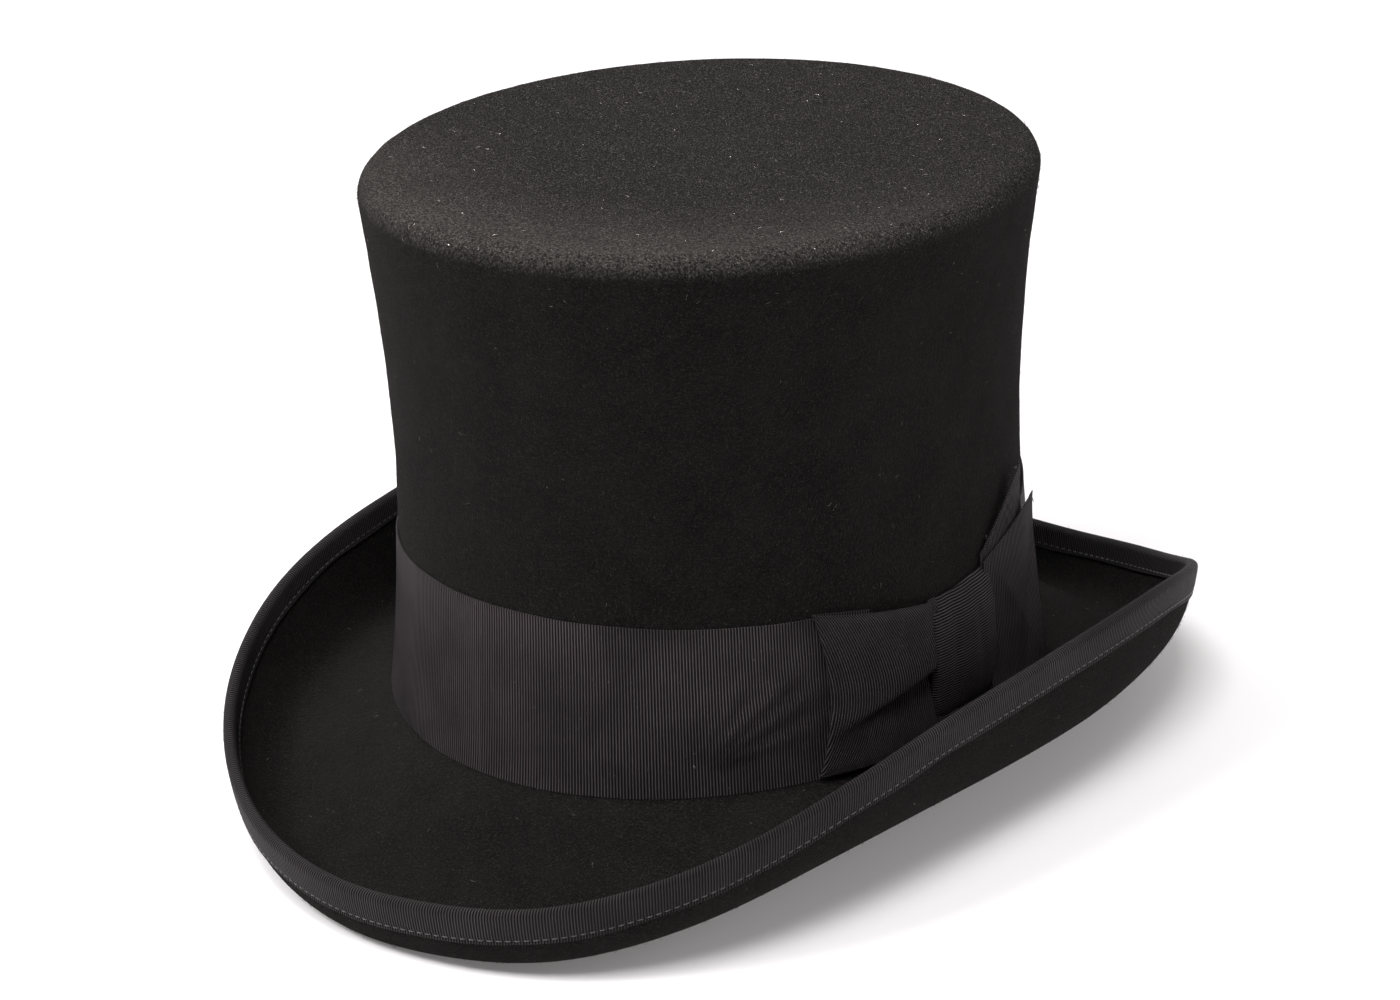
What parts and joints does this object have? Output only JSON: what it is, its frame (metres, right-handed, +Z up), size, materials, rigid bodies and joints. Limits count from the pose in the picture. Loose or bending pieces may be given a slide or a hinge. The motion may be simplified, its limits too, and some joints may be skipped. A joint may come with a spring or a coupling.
{
  "type": "top hat",
  "caption": "Tall black wool-felt top hat with a flared crown, curled ribbon-bound brim, grosgrain band and a flat side bow, leather sweatband and satin lining inside.",
  "frame": {"origin": "centre of the overall box on the surface that the brim rests on", "axes": "+Z up through the crown, +Y towards the back of the hat, +X towards the wearer's left, where the bow is"},
  "size_m": [0.2492, 0.3232, 0.1962],
  "materials": {
    "felt": "matte black wool felt",
    "grosgrain": "black ribbed grosgrain, faint sheen",
    "band_ribbon": "black ribbed grosgrain, soft sheen",
    "bow_ribbon": "black ribbed grosgrain, soft sheen",
    "thread": "black sewing thread",
    "leather": "dark brown smooth sweatband leather",
    "reed": "plain translucent reed",
    "tape": "black coated tape",
    "sweatband_thread": "dark brown sewing thread",
    "satin_ribbon": "black satin ribbon",
    "satin": "black satin lining",
    "piping": "black satin-covered cord",
    "clear_film": "clear flexible vinyl",
    "tab": "blank woven tab"
  },
  "bodies": {
    "root": {"felt_body": "felt", "brim_binding": "grosgrain", "binding_stitching": "thread", "hat_band": "band_ribbon", "bow_front_loop": "bow_ribbon", "bow_knot": "bow_ribbon", "bow_tail_outer": "bow_ribbon", "bow_tail_inner": "bow_ribbon", "bow_tacks": "thread", "sweatband": "leather", "sweatband_reed": "reed", "reed_tape": "tape", "sweatband_stitching": "sweatband_thread", "rear_bow_loops": "satin_ribbon", "rear_bow_knot": "satin_ribbon", "lining_side": "satin", "lining_tip": "satin", "lining_piping": "piping", "sweat_shield": "clear_film", "size_tab": "tab"}
  },
  "joints": []
}
